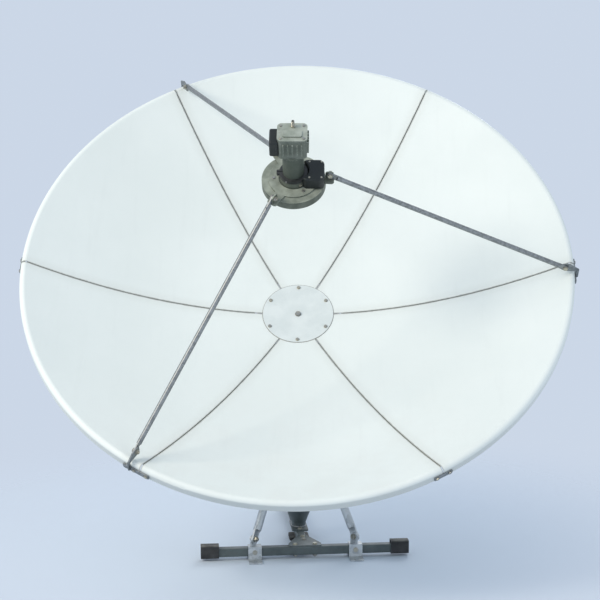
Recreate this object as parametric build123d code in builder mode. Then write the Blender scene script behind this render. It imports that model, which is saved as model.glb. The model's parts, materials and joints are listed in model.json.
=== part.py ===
"""Prime-focus satellite dish: six bolted petals, a three-strut feed and a low ground mount.

Millimetres, +Z up. The origin is on the ground, on the mast's axis. The dish looks towards -Y
and up. Its elevation pivot runs along X, over the mast.
"""

from build123d import *
from math import atan, cos, degrees, radians, sin
import os

# Reflector
DISH_RADIUS = 900.0
FOCAL_LENGTH = 690.0
PETALS = 6
SHEET = 1.2
SEAM_GAP = 3.4
PETAL_INNER = 100.0
FLANGE_INNER = 150.0
FLANGE_DEPTH = 20.0
RIM_ROLL = 13.0
LIP_DEPTH = 36.0
GAP = 0.2

# Radial ribs behind the seams
RIB_THICKNESS = 3.0
RIB_RECESS = 4.0
RIB_INNER_DEPTH = 84.0
RIB_OUTER_DEPTH = 25.0

# Hub
HUB_RADIUS = 143.0
HUB_WALL = 3.0
HUB_DEPTH = 80.0
HUB_COVER_RADIUS = 122.0
HUB_COVER_SHEET = 2.0
HUB_BOLT_CIRCLE = 111.0

# Elevation and pivot
REST_ELEVATION = 45.0
PIVOT_Y = 20.0
PIVOT_Z = 728.0
PIVOT_TO_VERTEX = 135.0
PIVOT_BOLT_RADIUS = 8.0
RUNNING_FIT = 0.05
LOCK_ARM = 120.0
LOCK_ANGLE = -60.0
ELEVATION_DOWN = 15.0
ELEVATION_UP = 35.0
FRAME_PLATE = 5.0
FRAME_PLATE_X = 56.0
YOKE_PLATE = 6.0
YOKE_PLATE_X = 62.0

# Mast and azimuth head
MAST_RADIUS = 44.45
MAST_WALL = 3.2
MAST_BOTTOM = 110.0
MAST_TOP = PIVOT_Z - 98.0
HEAD_BOTTOM = PIVOT_Z - 278.0
HEAD_TOP = PIVOT_Z - 82.0
HEAD_WALL = 5.0
YOKE_BASE_Z = PIVOT_Z - 170.0

# Ground frame
BAR = 30.0
BAR_WALL = 2.5
BAR_Z = 27.0
BAR_LENGTH = 710.0
BAR_Y = -230.0
REAR_Y = 480.0
SHOE_X = 174.0
SHOE_WIDTH = 46.0
SHOE_SHEET = 4.0
ANCHOR_REACH = 46.0
ANCHOR_OFFSET = 50.0
ANCHOR_HOLE = 7.0
COLLAR_Z = HEAD_BOTTOM - 52.0
COLLAR_HEIGHT = 44.0
LEG_RADIUS = 14.0
LEG_FLAT = 5.0
BASE_TURN = 7.0

# Feed
STRUT_SEAMS = (0.0, 120.0, 240.0)
STRUT_OFFSET = -2.5
STRUT_RADIUS = 8.0
STRUT_FLAT = 4.0
STRUT_RIM_INSET = 14.0
STRUT_RIM_RISE = 24.0
FEED_EAR_RADIUS = 114.0
FEED_EAR_Z = 738.0
RING_FRONT = 688.0
RING_BACK = 716.0
RING_RADIUS = 100.0
THROAT_RADIUS = 33.2
THROAT_WALL = 3.0
THROAT_FRONT = 684.0
LNB_FRONT = 848.0
LNB_LENGTH = 76.0
LNB_WIDTH = 88.0
LNB_HEIGHT = 70.0
LNB_WALL = 3.0

# The dish's own frame: x to the right, up_dir up the face, axis_dir out along its boresight
elevation = radians(REST_ELEVATION)
axis_dir = Vector(0, -cos(elevation), sin(elevation))
up_dir = Vector(0, sin(elevation), cos(elevation))
pivot = Vector(0, PIVOT_Y, PIVOT_Z)
vertex = pivot + axis_dir * PIVOT_TO_VERTEX
dish_axis = Axis(vertex, axis_dir)
face_plane = Plane(origin=vertex, x_dir=(1, 0, 0), z_dir=axis_dir)
side_plane = Plane(origin=pivot, x_dir=(0, 1, 0), z_dir=(1, 0, 0))
seam_angles = [360.0 / PETALS * index for index in range(PETALS)]
strut_angles = [seam + STRUT_OFFSET for seam in STRUT_SEAMS]


def bowl(radius):
    """Height of the paraboloid over its vertex."""
    return radius**2 / (4 * FOCAL_LENGTH)


def radial_dir(angle):
    """Unit vector from the dish's axis towards its rim."""
    return Vector(1, 0, 0) * cos(radians(angle)) + up_dir * sin(radians(angle))


def meridian(angle):
    """Plane through the dish's axis: x is the radius, y the height along the axis."""
    radial = radial_dir(angle)
    return Plane(origin=vertex, x_dir=radial, z_dir=radial.cross(axis_dir))


def rim_plane(angle, radius):
    """Plane across the radius, at the rim's height: x is the height, y runs along the rim."""
    radial = radial_dir(angle)
    origin = vertex + radial * radius + axis_dir * bowl(DISH_RADIUS)
    return Plane(origin=origin, x_dir=axis_dir, z_dir=radial)


def bowl_curve(inner, outer, inner_drop, outer_drop):
    """The paraboloid's section, lowered by a drop that changes evenly: a quadratic Bezier."""
    middle = inner * outer / (4 * FOCAL_LENGTH) - (inner_drop + outer_drop) / 2
    return Bezier(
        (inner, bowl(inner) - inner_drop),
        ((inner + outer) / 2, middle),
        (outer, bowl(outer) - outer_drop),
    )


def bowl_band(inner, outer, top_drops, bottom_drops):
    """Face between two such curves, in the sketch of the caller."""
    with BuildLine() as outline:
        bowl_curve(inner, outer, *top_drops)
        bowl_curve(inner, outer, *bottom_drops)
        Line((inner, bowl(inner) - top_drops[0]), (inner, bowl(inner) - bottom_drops[0]))
        Line((outer, bowl(outer) - top_drops[1]), (outer, bowl(outer) - bottom_drops[1]))
    return make_face(outline.edges())


def extruded(plane, shape, amount):
    """Add shape(), drawn on a plane, to the part in hand."""
    with BuildSketch(plane) as outline:
        shape()
    extrude(outline.sketch, amount=amount)


def hex_bolt(plane, radius, grip, nut=True):
    """Hex bolt whose head stands on the plane and whose shank goes down its -z."""
    flats = radius * 1.65
    height = radius * 1.24
    extruded(plane, lambda: RegularPolygon(flats, 6, major_radius=False), height)
    extruded(plane, lambda: Circle(radius * 2.1), height * 0.18)
    if nut:
        far = plane.offset(-grip)
        extruded(plane, lambda: Circle(radius), -(grip + height * 1.9))
        extruded(far, lambda: Circle(radius * 2.1), -height * 0.18)
        extruded(far, lambda: RegularPolygon(flats, 6, major_radius=False), -height * 1.3)
    else:
        extruded(plane, lambda: Circle(radius), -grip)


def save(builder, label, turn=0.0):
    """Name one finished piece and write it, turned about the mast's axis."""
    piece = builder.part.rotate(Axis.Z, turn)
    piece.label = label
    export_step(piece, f"parts/{label}.step")


os.makedirs("parts", exist_ok=True)

# ---------------------------------------------------------------- reflector petals
rim_height = bowl(DISH_RADIUS)
rim_slope = degrees(atan(DISH_RADIUS / (2 * FOCAL_LENGTH)))
roll_centre = (
    DISH_RADIUS + RIM_ROLL * sin(radians(rim_slope)),
    rim_height - RIM_ROLL * cos(radians(rim_slope)),
)
rim_outer = roll_centre[0] + RIM_ROLL
rim_bolt_drop = 23.0
rim_bolt_spread = 22.0
rim_bolt_radius = 3.0
seam_bolt_radii = (300.0, 520.0, 740.0)
seam_bolt_drop = 11.5
hole_clearance = 0.3


def petal_section():
    """Sheet whose edge is rolled outwards and back into a lip behind the rim."""
    inner_roll = RIM_ROLL - SHEET
    inner_end = (
        roll_centre[0] - inner_roll * sin(radians(rim_slope)),
        roll_centre[1] + inner_roll * cos(radians(rim_slope)),
    )
    bottom = rim_height - LIP_DEPTH
    with BuildLine() as outline:
        bowl_curve(PETAL_INNER, DISH_RADIUS, 0, 0)
        CenterArc(roll_centre, RIM_ROLL, 90 + rim_slope, -90 - rim_slope)
        Polyline(
            (rim_outer, roll_centre[1]),
            (rim_outer, bottom),
            (rim_outer - SHEET, bottom),
            (rim_outer - SHEET, roll_centre[1]),
        )
        CenterArc(roll_centre, inner_roll, 0, 90 + rim_slope)
        bowl_curve(PETAL_INNER, inner_end[0], SHEET, bowl(inner_end[0]) - inner_end[1])
        Line((PETAL_INNER, bowl(PETAL_INNER)), (PETAL_INNER, bowl(PETAL_INNER) - SHEET))
    make_face(outline.edges())


for index, start in enumerate(seam_angles):
    end = start + 360.0 / PETALS
    with BuildPart() as petal:
        with BuildSketch(meridian(start)):
            petal_section()
        revolve(axis=dish_axis, revolution_arc=360.0 / PETALS)
        for edge, side in ((start, -1), (end, 1)):
            with BuildSketch(meridian(edge)):
                with Locations((DISH_RADIUS / 2, rim_height / 2)):
                    Rectangle(DISH_RADIUS * 1.1, rim_height * 2)
            extrude(amount=side * SEAM_GAP / 2, mode=Mode.SUBTRACT)
            with BuildSketch(meridian(edge).offset(side * SEAM_GAP / 2)):
                bowl_band(
                    FLANGE_INNER,
                    DISH_RADIUS,
                    (SHEET / 2, SHEET / 2),
                    (SHEET + FLANGE_DEPTH, SHEET + FLANGE_DEPTH),
                )
            extrude(amount=side * SHEET)
            with BuildSketch(meridian(edge)):
                for radius in seam_bolt_radii:
                    with Locations((radius, bowl(radius) - seam_bolt_drop)):
                        Circle(rim_bolt_radius + hole_clearance)
            extrude(amount=side * (SEAM_GAP + SHEET), mode=Mode.SUBTRACT)
            with BuildSketch(rim_plane(edge, rim_outer - 2 * SHEET)):
                with Locations((-rim_bolt_drop, rim_bolt_spread), (-rim_bolt_drop, -rim_bolt_spread)):
                    Circle(rim_bolt_radius + hole_clearance)
            extrude(amount=4 * SHEET, mode=Mode.SUBTRACT)
        with BuildSketch(face_plane.offset(-SHEET * 4)):
            with Locations(Location((0, 0, 0), (0, 0, (start + end) / 2))):
                with Locations((HUB_BOLT_CIRCLE, 0)):
                    Circle(rim_bolt_radius + hole_clearance)
        extrude(amount=FLANGE_DEPTH, mode=Mode.SUBTRACT)
    save(petal, f"petal_{index + 1}")

# ---------------------------------------------------------------- ribs behind the seams
with BuildPart() as radial_ribs:
    for angle in seam_angles:
        with BuildSketch(meridian(angle)):
            rib_inner = HUB_RADIUS + GAP
            rib_outer = DISH_RADIUS - SHEET
            rib_end = rim_outer - SHEET - GAP
            bowl_band(
                rib_inner,
                rib_outer,
                (RIB_RECESS, 2 * RIB_RECESS),
                (RIB_INNER_DEPTH, RIB_OUTER_DEPTH),
            )
            with BuildLine():
                Polyline(
                    (rib_outer - 8, bowl(rib_outer - 8) - 2 * RIB_RECESS),
                    (rib_end, rim_height - 15),
                    (rib_end, rim_height - LIP_DEPTH + 2),
                    (rib_outer - 8, bowl(rib_outer - 8) - RIB_OUTER_DEPTH),
                    close=True,
                )
            make_face()
            for radius in seam_bolt_radii:
                with Locations((radius, bowl(radius) - seam_bolt_drop)):
                    Circle(rim_bolt_radius + hole_clearance, mode=Mode.SUBTRACT)
            for radius, size in ((215, 21), (285, 17), (355, 14), (425, 11)):
                depth = RIB_INNER_DEPTH + (RIB_OUTER_DEPTH - RIB_INNER_DEPTH) * radius / DISH_RADIUS
                with Locations((radius, bowl(radius) - depth * 0.62)):
                    Circle(size, mode=Mode.SUBTRACT)
        extrude(amount=RIB_THICKNESS / 2, both=True)
save(radial_ribs, "radial_ribs")

with BuildPart() as seam_bolts:
    for angle in seam_angles:
        for radius in seam_bolt_radii:
            stack = SEAM_GAP + 2 * SHEET
            plane = meridian(angle).offset(stack / 2)
            spot = plane.from_local_coords((radius, bowl(radius) - seam_bolt_drop, 0))
            hex_bolt(Plane(origin=spot, x_dir=plane.x_dir, z_dir=plane.z_dir), rim_bolt_radius, stack)
save(seam_bolts, "seam_bolts")

# ---------------------------------------------------------------- hub
frame_bolt_x = FRAME_PLATE_X - 25
frame_bolt_y = 85.0

with BuildPart() as hub_drum:
    with BuildSketch(meridian(0)):
        front_drop = SHEET + GAP
        bowl_band(6.5, HUB_RADIUS, (front_drop, front_drop), (front_drop + 4, front_drop + 4))
        wall_top = bowl(HUB_RADIUS) - front_drop - 2
        with Locations((HUB_RADIUS - HUB_WALL / 2, (wall_top - HUB_DEPTH) / 2)):
            Rectangle(HUB_WALL, wall_top + HUB_DEPTH)
        with Locations(((HUB_RADIUS + 55) / 2, -HUB_DEPTH + 3)):
            Rectangle(HUB_RADIUS - 55, 6)
    revolve(axis=dish_axis)
    with BuildSketch(face_plane.offset(-SHEET * 6)):
        with PolarLocations(HUB_BOLT_CIRCLE, PETALS, start_angle=180.0 / PETALS):
            Circle(rim_bolt_radius + hole_clearance)
    extrude(amount=FLANGE_DEPTH, mode=Mode.SUBTRACT)
    with BuildSketch(face_plane.offset(-HUB_DEPTH)):
        with GridLocations(2 * frame_bolt_x, 2 * frame_bolt_y, 2, 2):
            Circle(5.4)
        with GridLocations(190, 90, 2, 2):
            Circle(11)
    extrude(amount=8, mode=Mode.SUBTRACT)
save(hub_drum, "hub_drum")

with BuildPart() as hub_cover:
    with BuildSketch(meridian(0)):
        bowl_band(
            5.3,
            HUB_COVER_RADIUS,
            (-GAP - HUB_COVER_SHEET, -GAP - HUB_COVER_SHEET),
            (-GAP, -GAP),
        )
    revolve(axis=dish_axis)
    with BuildSketch(face_plane.offset(-SHEET)):
        with PolarLocations(HUB_BOLT_CIRCLE, PETALS, start_angle=180.0 / PETALS):
            Circle(rim_bolt_radius + hole_clearance)
    extrude(amount=FLANGE_DEPTH, mode=Mode.SUBTRACT)
save(hub_cover, "hub_cover")

with BuildPart() as hub_bolts:
    bolt_rise = bowl(HUB_BOLT_CIRCLE) + GAP + HUB_COVER_SHEET + 0.4
    for index in range(PETALS):
        direction = radial_dir(360.0 / PETALS * (index + 0.5))
        spot = vertex + direction * HUB_BOLT_CIRCLE + axis_dir * bolt_rise
        hex_bolt(Plane(origin=spot, x_dir=direction, z_dir=axis_dir), rim_bolt_radius, 9.2)
    centre = vertex + axis_dir * (GAP + HUB_COVER_SHEET + 0.3)
    hex_bolt(Plane(origin=centre, x_dir=(1, 0, 0), z_dir=axis_dir), 5.0, 8.8)
save(hub_bolts, "hub_bolts")

# ---------------------------------------------------------------- rim hardware
bracket_sheet = 4.0
splice_sheet = 3.0
strut_rim = (DISH_RADIUS - STRUT_RIM_INSET, rim_height + STRUT_RIM_RISE)
strut_feed = (FEED_EAR_RADIUS, FEED_EAR_Z)


def rim_holes(angle, radius, depth):
    """Two clearance holes either side of a seam."""
    with BuildSketch(rim_plane(angle, radius)) as holes:
        with Locations((-rim_bolt_drop, rim_bolt_spread), (-rim_bolt_drop, -rim_bolt_spread)):
            Circle(rim_bolt_radius + hole_clearance)
    extrude(holes.sketch, amount=depth, mode=Mode.SUBTRACT)


with BuildPart() as strut_brackets:
    ear_inner = rim_outer + GAP + 1.1
    ear_outer = rim_outer + GAP + 12
    for seam, angle in zip(STRUT_SEAMS, strut_angles):
        with BuildSketch(rim_plane(seam, rim_outer + GAP)):
            with Locations((-rim_bolt_drop, 15)):
                RectangleRounded(20, 94, 5)
        extrude(amount=bracket_sheet)
        with BuildSketch(meridian(angle).offset(-STRUT_FLAT / 2 - GAP)):
            with BuildLine():
                Polyline(
                    (ear_inner, rim_height - 32),
                    (ear_outer, rim_height - 24),
                    (ear_outer, rim_height + 14),
                    (DISH_RADIUS + 2, rim_height + 38),
                    (DISH_RADIUS - 14, rim_height + 40),
                    (DISH_RADIUS - 28, rim_height + 36),
                    (DISH_RADIUS - 28, rim_height + 14),
                    (DISH_RADIUS - 12, rim_height + 6),
                    (ear_inner, rim_height + 6),
                    close=True,
                )
            make_face()
            with Locations(strut_rim):
                Circle(4.3, mode=Mode.SUBTRACT)
        extrude(amount=-bracket_sheet)
        rim_holes(seam, rim_outer, 2 * bracket_sheet)
save(strut_brackets, "strut_brackets")

with BuildPart() as rim_splices:
    for angle in seam_angles:
        if angle not in STRUT_SEAMS:
            with BuildSketch(rim_plane(angle, rim_outer + GAP)):
                with Locations((-rim_bolt_drop, 0)):
                    RectangleRounded(18, 64, 4)
            extrude(amount=splice_sheet)
            rim_holes(angle, rim_outer, 2 * splice_sheet)
save(rim_splices, "rim_splices")

with BuildPart() as rim_bolts:
    for angle in seam_angles:
        plate = bracket_sheet if angle in STRUT_SEAMS else splice_sheet
        outer = rim_plane(angle, rim_outer + GAP + plate)
        for side in (-1, 1):
            spot = outer.from_local_coords((-rim_bolt_drop, side * rim_bolt_spread, 0))
            sagitta = rim_bolt_spread**2 / (2 * rim_outer)
            hex_bolt(
                Plane(origin=spot, x_dir=outer.x_dir, z_dir=outer.z_dir),
                rim_bolt_radius,
                plate + GAP + SHEET + sagitta + 0.3,
            )
save(rim_bolts, "rim_bolts")

# ---------------------------------------------------------------- feed struts
strut_names = ("right", "upper_left", "lower_left")
flat_length = 44.0
flat_width = 20.0
ring_screw_circle = 62.0

for name, angle in zip(strut_names, strut_angles):
    plane = meridian(angle)
    rim_point = plane.from_local_coords((*strut_rim, 0))
    feed_point = plane.from_local_coords((*strut_feed, 0))
    along = (feed_point - rim_point).normalized()
    span = (feed_point - rim_point).length
    flat_plane = Plane(origin=rim_point, x_dir=along, z_dir=plane.z_dir)
    with BuildPart() as strut:
        with BuildSketch(Plane(origin=rim_point + along * flat_length * 0.55, z_dir=along)):
            Circle(STRUT_RADIUS)
            Circle(STRUT_RADIUS - 1.2, mode=Mode.SUBTRACT)
        extrude(amount=span - flat_length * 1.1)
        with BuildSketch(flat_plane):
            for middle in (flat_length / 2 - 5, span - flat_length / 2 + 5):
                with Locations((middle, 0)):
                    SlotOverall(flat_length + 10, flat_width)
        extrude(amount=STRUT_FLAT / 2, both=True)
        with BuildSketch(flat_plane):
            with Locations((0, 0), (span, 0)):
                Circle(4.3)
        extrude(amount=STRUT_FLAT, both=True, mode=Mode.SUBTRACT)
    save(strut, f"feed_strut_{name}")

with BuildPart() as feed_bracket:
    with BuildSketch(face_plane.offset(RING_BACK + GAP)):
        Circle(78)
        for angle in strut_angles:
            with Locations(Location((0, 0, 0), (0, 0, angle))):
                with Locations((90, 0)):
                    RectangleRounded(72, 34, 8)
        Circle(47, mode=Mode.SUBTRACT)
        with PolarLocations(ring_screw_circle, 3, start_angle=60):
            Circle(2.7, mode=Mode.SUBTRACT)
    extrude(amount=4)
    for angle in strut_angles:
        with BuildSketch(meridian(angle).offset(-STRUT_FLAT / 2 - GAP)):
            with Locations((FEED_EAR_RADIUS - 2, FEED_EAR_Z - 6)):
                RectangleRounded(26, 34, 8)
            with Locations((FEED_EAR_RADIUS - 2, RING_BACK + GAP + 6)):
                Rectangle(26, 12)
            with Locations(strut_feed):
                Circle(4.3, mode=Mode.SUBTRACT)
        extrude(amount=-4)
save(feed_bracket, "feed_bracket")

with BuildPart() as strut_bolts:
    for angle in strut_angles:
        plane = meridian(angle).offset(STRUT_FLAT / 2)
        for point in (strut_rim, strut_feed):
            spot = plane.from_local_coords((*point, 0))
            hex_bolt(
                Plane(origin=spot, x_dir=plane.x_dir, z_dir=plane.z_dir),
                4.0,
                STRUT_FLAT + GAP + bracket_sheet,
            )
save(strut_bolts, "strut_bolts")

# ---------------------------------------------------------------- scalar ring and its collar
collar_top = RING_BACK + 24

with BuildPart() as scalar_ring:
    with BuildSketch(meridian(0)):
        with Locations(((THROAT_RADIUS + RING_RADIUS) / 2, RING_BACK - 1.5)):
            Rectangle(RING_RADIUS - THROAT_RADIUS - RUNNING_FIT * 2, 3)
        for wall in (48.0, 72.0, RING_RADIUS - 3.0):
            with Locations((wall + 1.5, (RING_FRONT + RING_BACK) / 2)):
                Rectangle(3, RING_BACK - RING_FRONT)
        with Locations((THROAT_RADIUS + RUNNING_FIT + 5, (RING_BACK + collar_top) / 2 - 1)):
            Rectangle(10, collar_top - RING_BACK + 2)
    revolve(axis=dish_axis)
    with BuildSketch(face_plane.offset(RING_BACK - 5)):
        with PolarLocations(ring_screw_circle, 3, start_angle=60):
            Circle(2.7)
    extrude(amount=8, mode=Mode.SUBTRACT)
    for angle in (60, 180, 300):
        origin = vertex + axis_dir * (RING_BACK + 14) + radial_dir(angle) * THROAT_RADIUS
        with BuildSketch(Plane(origin=origin, x_dir=axis_dir, z_dir=radial_dir(angle))):
            Circle(2.7)
        extrude(amount=14, mode=Mode.SUBTRACT)
save(scalar_ring, "scalar_ring")

with BuildPart() as ring_screws:
    for angle in (60, 180, 300):
        direction = radial_dir(angle)
        head = vertex + direction * ring_screw_circle + axis_dir * (RING_BACK + GAP + 4)
        hex_bolt(Plane(origin=head, x_dir=direction, z_dir=axis_dir), 2.5, 7.6)
        side = vertex + axis_dir * (RING_BACK + 14) + direction * (THROAT_RADIUS + 10.4)
        hex_bolt(Plane(origin=side, x_dir=axis_dir, z_dir=direction), 2.5, 9.6, nut=False)
save(ring_screws, "ring_screws")

# ---------------------------------------------------------------- feed: skew ring and receiver
with BuildPart() as skew_ring:
    with BuildSketch(face_plane.offset(collar_top + 0.3)):
        Circle(THROAT_RADIUS + 11)
        with Locations((-THROAT_RADIUS - 12, 0)):
            RectangleRounded(14, 16, 3)
        Circle(THROAT_RADIUS + RUNNING_FIT, mode=Mode.SUBTRACT)
        with Locations((-THROAT_RADIUS - 10, 0)):
            Rectangle(24, 2.4, mode=Mode.SUBTRACT)
    extrude(amount=10)
save(skew_ring, "skew_ring")

with BuildPart() as feed_throat:
    with BuildSketch(meridian(0)):
        with Locations((THROAT_RADIUS - THROAT_WALL / 2, (THROAT_FRONT + LNB_FRONT) / 2)):
            Rectangle(THROAT_WALL, LNB_FRONT - THROAT_FRONT)
        with Locations((THROAT_RADIUS + 1, LNB_FRONT - 3)):
            Rectangle(8, 6)
    revolve(axis=dish_axis)
save(feed_throat, "feed_throat")

cap_radius = THROAT_RADIUS - THROAT_WALL - 0.1
with BuildPart() as throat_cap:
    with BuildSketch(face_plane.offset(THROAT_FRONT - 2)):
        Circle(THROAT_RADIUS)
    extrude(amount=2)
    with BuildSketch(face_plane.offset(THROAT_FRONT)):
        Circle(cap_radius)
        Circle(cap_radius - 1.6, mode=Mode.SUBTRACT)
    extrude(amount=7)
save(throat_cap, "throat_cap")

with BuildPart() as polariser_vane:
    with BuildSketch(Plane(origin=vertex, x_dir=radial_dir(45), z_dir=radial_dir(135))):
        with Locations((0, -THROAT_FRONT - 52)):
            Rectangle(2 * (THROAT_RADIUS - THROAT_WALL) - 0.6, 60)
    extrude(amount=1.5, both=True)
save(polariser_vane, "polariser_vane")

lnb_back = LNB_FRONT + LNB_LENGTH
post_x = LNB_WIDTH - 18
post_y = LNB_HEIGHT - 18
connector_spot = (2.0, 23.0)
connector_radius = 4.75
connector_reach = 24.0

with BuildPart() as lnb_housing:
    with BuildSketch(face_plane.offset(LNB_FRONT + GAP)):
        RectangleRounded(LNB_WIDTH, LNB_HEIGHT, 12)
    extrude(amount=LNB_LENGTH - GAP)
    with BuildSketch(face_plane.offset(LNB_FRONT + LNB_WALL + GAP)):
        RectangleRounded(LNB_WIDTH - 2 * LNB_WALL, LNB_HEIGHT - 2 * LNB_WALL, 9)
    extrude(amount=LNB_LENGTH, mode=Mode.SUBTRACT)
    with BuildSketch(face_plane.offset(LNB_FRONT + 16)):
        with Locations((LNB_WIDTH / 2 + 2, 0)):
            with GridLocations(0, 12, 1, 5):
                Rectangle(8, 3)
        with GridLocations(14, LNB_HEIGHT + 4, 5, 2):
            Rectangle(3, 6)
    extrude(amount=LNB_LENGTH - 30)
    with BuildSketch(face_plane.offset(LNB_FRONT + GAP)):
        with GridLocations(post_x, post_y, 2, 2):
            Circle(6.5)
    extrude(amount=LNB_LENGTH - GAP)
    with BuildSketch(face_plane.offset(lnb_back - 16)):
        with GridLocations(post_x, post_y, 2, 2):
            Circle(2.2)
    extrude(amount=20, mode=Mode.SUBTRACT)
    with BuildSketch(face_plane.offset(LNB_FRONT - 1)):
        Circle(THROAT_RADIUS - THROAT_WALL)
    extrude(amount=8, mode=Mode.SUBTRACT)
save(lnb_housing, "lnb_housing")

with BuildPart() as lnb_cover:
    with BuildSketch(face_plane.offset(lnb_back + GAP)):
        RectangleRounded(LNB_WIDTH + 4, LNB_HEIGHT + 4, 14)
    extrude(amount=5)
    with BuildSketch(face_plane.offset(lnb_back + GAP + 5)):
        with Locations((0, -9)):
            RectangleRounded(LNB_WIDTH - 30, LNB_HEIGHT - 44, 6)
    extrude(amount=4)
    with BuildSketch(face_plane.offset(lnb_back)):
        with GridLocations(post_x, post_y, 2, 2):
            Circle(2.5)
        with Locations(connector_spot):
            Circle(5.2)
    extrude(amount=20, mode=Mode.SUBTRACT)
save(lnb_cover, "lnb_cover")

with BuildPart() as lnb_screws:
    for column in (-0.5, 0.5):
        for row in (-0.5, 0.5):
            spot = face_plane.from_local_coords((column * post_x, row * post_y, lnb_back + GAP + 5))
            hex_bolt(Plane(origin=spot, x_dir=(1, 0, 0), z_dir=axis_dir), 2.1, 15, nut=False)
save(lnb_screws, "lnb_screws")

with BuildPart() as f_connector:
    cover_face = face_plane.offset(lnb_back + GAP + 5)
    with BuildSketch(cover_face.offset(-17)):
        with Locations(connector_spot):
            Circle(connector_radius)
    extrude(amount=17 + connector_reach)
    with BuildSketch(cover_face):
        with Locations(connector_spot):
            RegularPolygon(8, 6)
    extrude(amount=4)
    with BuildSketch(cover_face.offset(connector_reach - 10)):
        with Locations(connector_spot):
            Circle(3.2)
            Circle(0.6, mode=Mode.SUBTRACT)
    extrude(amount=12, mode=Mode.SUBTRACT)
save(f_connector, "f_connector")

with BuildPart() as lnb_board:
    with BuildSketch(face_plane.offset(LNB_FRONT + LNB_LENGTH / 2)):
        Rectangle(post_x - 16, LNB_HEIGHT - 2 * LNB_WALL - 0.4)
    extrude(amount=1.6)
save(lnb_board, "lnb_board")

side_cover_depth = 26.0
side_cover_wall = 2.5
side_plane_x = -LNB_WIDTH / 2 - GAP
with BuildPart() as lnb_side_cover:
    side_origin = face_plane.from_local_coords((side_plane_x, 0, LNB_FRONT + LNB_LENGTH / 2 - 3))
    with BuildSketch(Plane(origin=side_origin, x_dir=up_dir, z_dir=(-1, 0, 0))):
        RectangleRounded(LNB_HEIGHT - 6, LNB_LENGTH - 12, 9)
    extrude(amount=side_cover_depth)
    fillet(lnb_side_cover.faces().sort_by(Axis.X)[0].edges(), 6)
    with BuildSketch(Plane(origin=side_origin, x_dir=up_dir, z_dir=(-1, 0, 0))):
        inset = 2 * side_cover_wall
        RectangleRounded(LNB_HEIGHT - 6 - inset, LNB_LENGTH - 12 - inset, 7)
    extrude(amount=side_cover_depth - side_cover_wall - 4, mode=Mode.SUBTRACT)
save(lnb_side_cover, "lnb_side_cover")

# ---------------------------------------------------------------- polarisation drive beside the throat
servo_floor = RING_BACK + 2 * GAP + 4
servo_height = 42.0
servo_wall = 2.5
servo_middle = (61.5, -2.0)


def servo_outline(inset):
    """Rounded box beside the throat, cut back round its collar."""
    with Locations(servo_middle):
        RectangleRounded(69 - 2 * inset, 84 - 2 * inset, 18 - inset)
    Circle(48 + inset, mode=Mode.SUBTRACT)


with BuildPart() as servo_case:
    with BuildSketch(face_plane.offset(servo_floor)):
        servo_outline(0)
    extrude(amount=servo_height)
    fillet(servo_case.faces().sort_by(dish_axis)[-1].edges(), 5)
    with BuildSketch(face_plane.offset(servo_floor)):
        servo_outline(servo_wall)
    extrude(amount=servo_height - servo_wall - 3, mode=Mode.SUBTRACT)
save(servo_case, "servo_case")

with BuildPart() as servo_motor:
    with BuildSketch(face_plane.offset(servo_floor)):
        with Locations((70, -2)):
            Circle(17)
    extrude(amount=26)
    with BuildSketch(face_plane.offset(servo_floor + 26)):
        with Locations((70, -2)):
            Circle(5)
    extrude(amount=6)
save(servo_motor, "servo_motor")

# ---------------------------------------------------------------- elevation frame on the hub
frame_reach = PIVOT_TO_VERTEX - HUB_DEPTH - GAP
frame_half = 105.0
flange_width = 42.0
sector_radius = LOCK_ARM + 24
slot_start = LOCK_ANGLE - ELEVATION_DOWN
slot_end = LOCK_ANGLE + ELEVATION_UP
slot_margin = 11.0
lock_bolt_radius = 6.0


def polar_point(radius, angle):
    """Point in the side view, about the pivot: angles from +Y towards +Z."""
    return (radius * cos(radians(angle)), radius * sin(radians(angle)))


def boresight_point(along, up_face):
    """Point in the side view, given along the boresight and up the face."""
    across = up_face * sin(elevation) - along * cos(elevation)
    height = up_face * cos(elevation) + along * sin(elevation)
    return (across, height)


def side_sheet(inner_x, thickness, side):
    """Plane of a plate that stands across X, with its inner face inner_x from the middle."""
    return side_plane.offset(inner_x if side > 0 else -inner_x - thickness)


with BuildPart() as elevation_frame:
    for side in (-1, 1):
        with BuildSketch(side_sheet(FRAME_PLATE_X, FRAME_PLATE, side)):
            with BuildLine():
                Polyline(
                    polar_point(sector_radius, slot_end + slot_margin),
                    boresight_point(frame_reach, frame_half),
                    boresight_point(frame_reach, -frame_half),
                    polar_point(sector_radius, slot_start - slot_margin),
                )
                CenterArc(
                    (0, 0),
                    sector_radius,
                    slot_start - slot_margin,
                    slot_end - slot_start + 2 * slot_margin,
                )
            make_face()
            with BuildLine(mode=Mode.PRIVATE) as slot_line:
                CenterArc((0, 0), LOCK_ARM, slot_start, slot_end - slot_start)
            SlotArc(slot_line.edges()[0], 2 * lock_bolt_radius + 1, mode=Mode.SUBTRACT)
            Circle(PIVOT_BOLT_RADIUS + RUNNING_FIT, mode=Mode.SUBTRACT)
            with Locations(boresight_point(18, 58)):
                Circle(17, mode=Mode.SUBTRACT)
            with Locations(boresight_point(18, -58)):
                Circle(17, mode=Mode.SUBTRACT)
        extrude(amount=FRAME_PLATE)
        with BuildSketch(face_plane.offset(-HUB_DEPTH - GAP)):
            with Locations((side * (FRAME_PLATE_X + FRAME_PLATE - flange_width / 2), 0)):
                Rectangle(flange_width, 2 * frame_half)
            with Locations(
                (side * frame_bolt_x, frame_bolt_y),
                (side * frame_bolt_x, -frame_bolt_y),
            ):
                Circle(5.4, mode=Mode.SUBTRACT)
        extrude(amount=-FRAME_PLATE)
save(elevation_frame, "elevation_frame")

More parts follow.
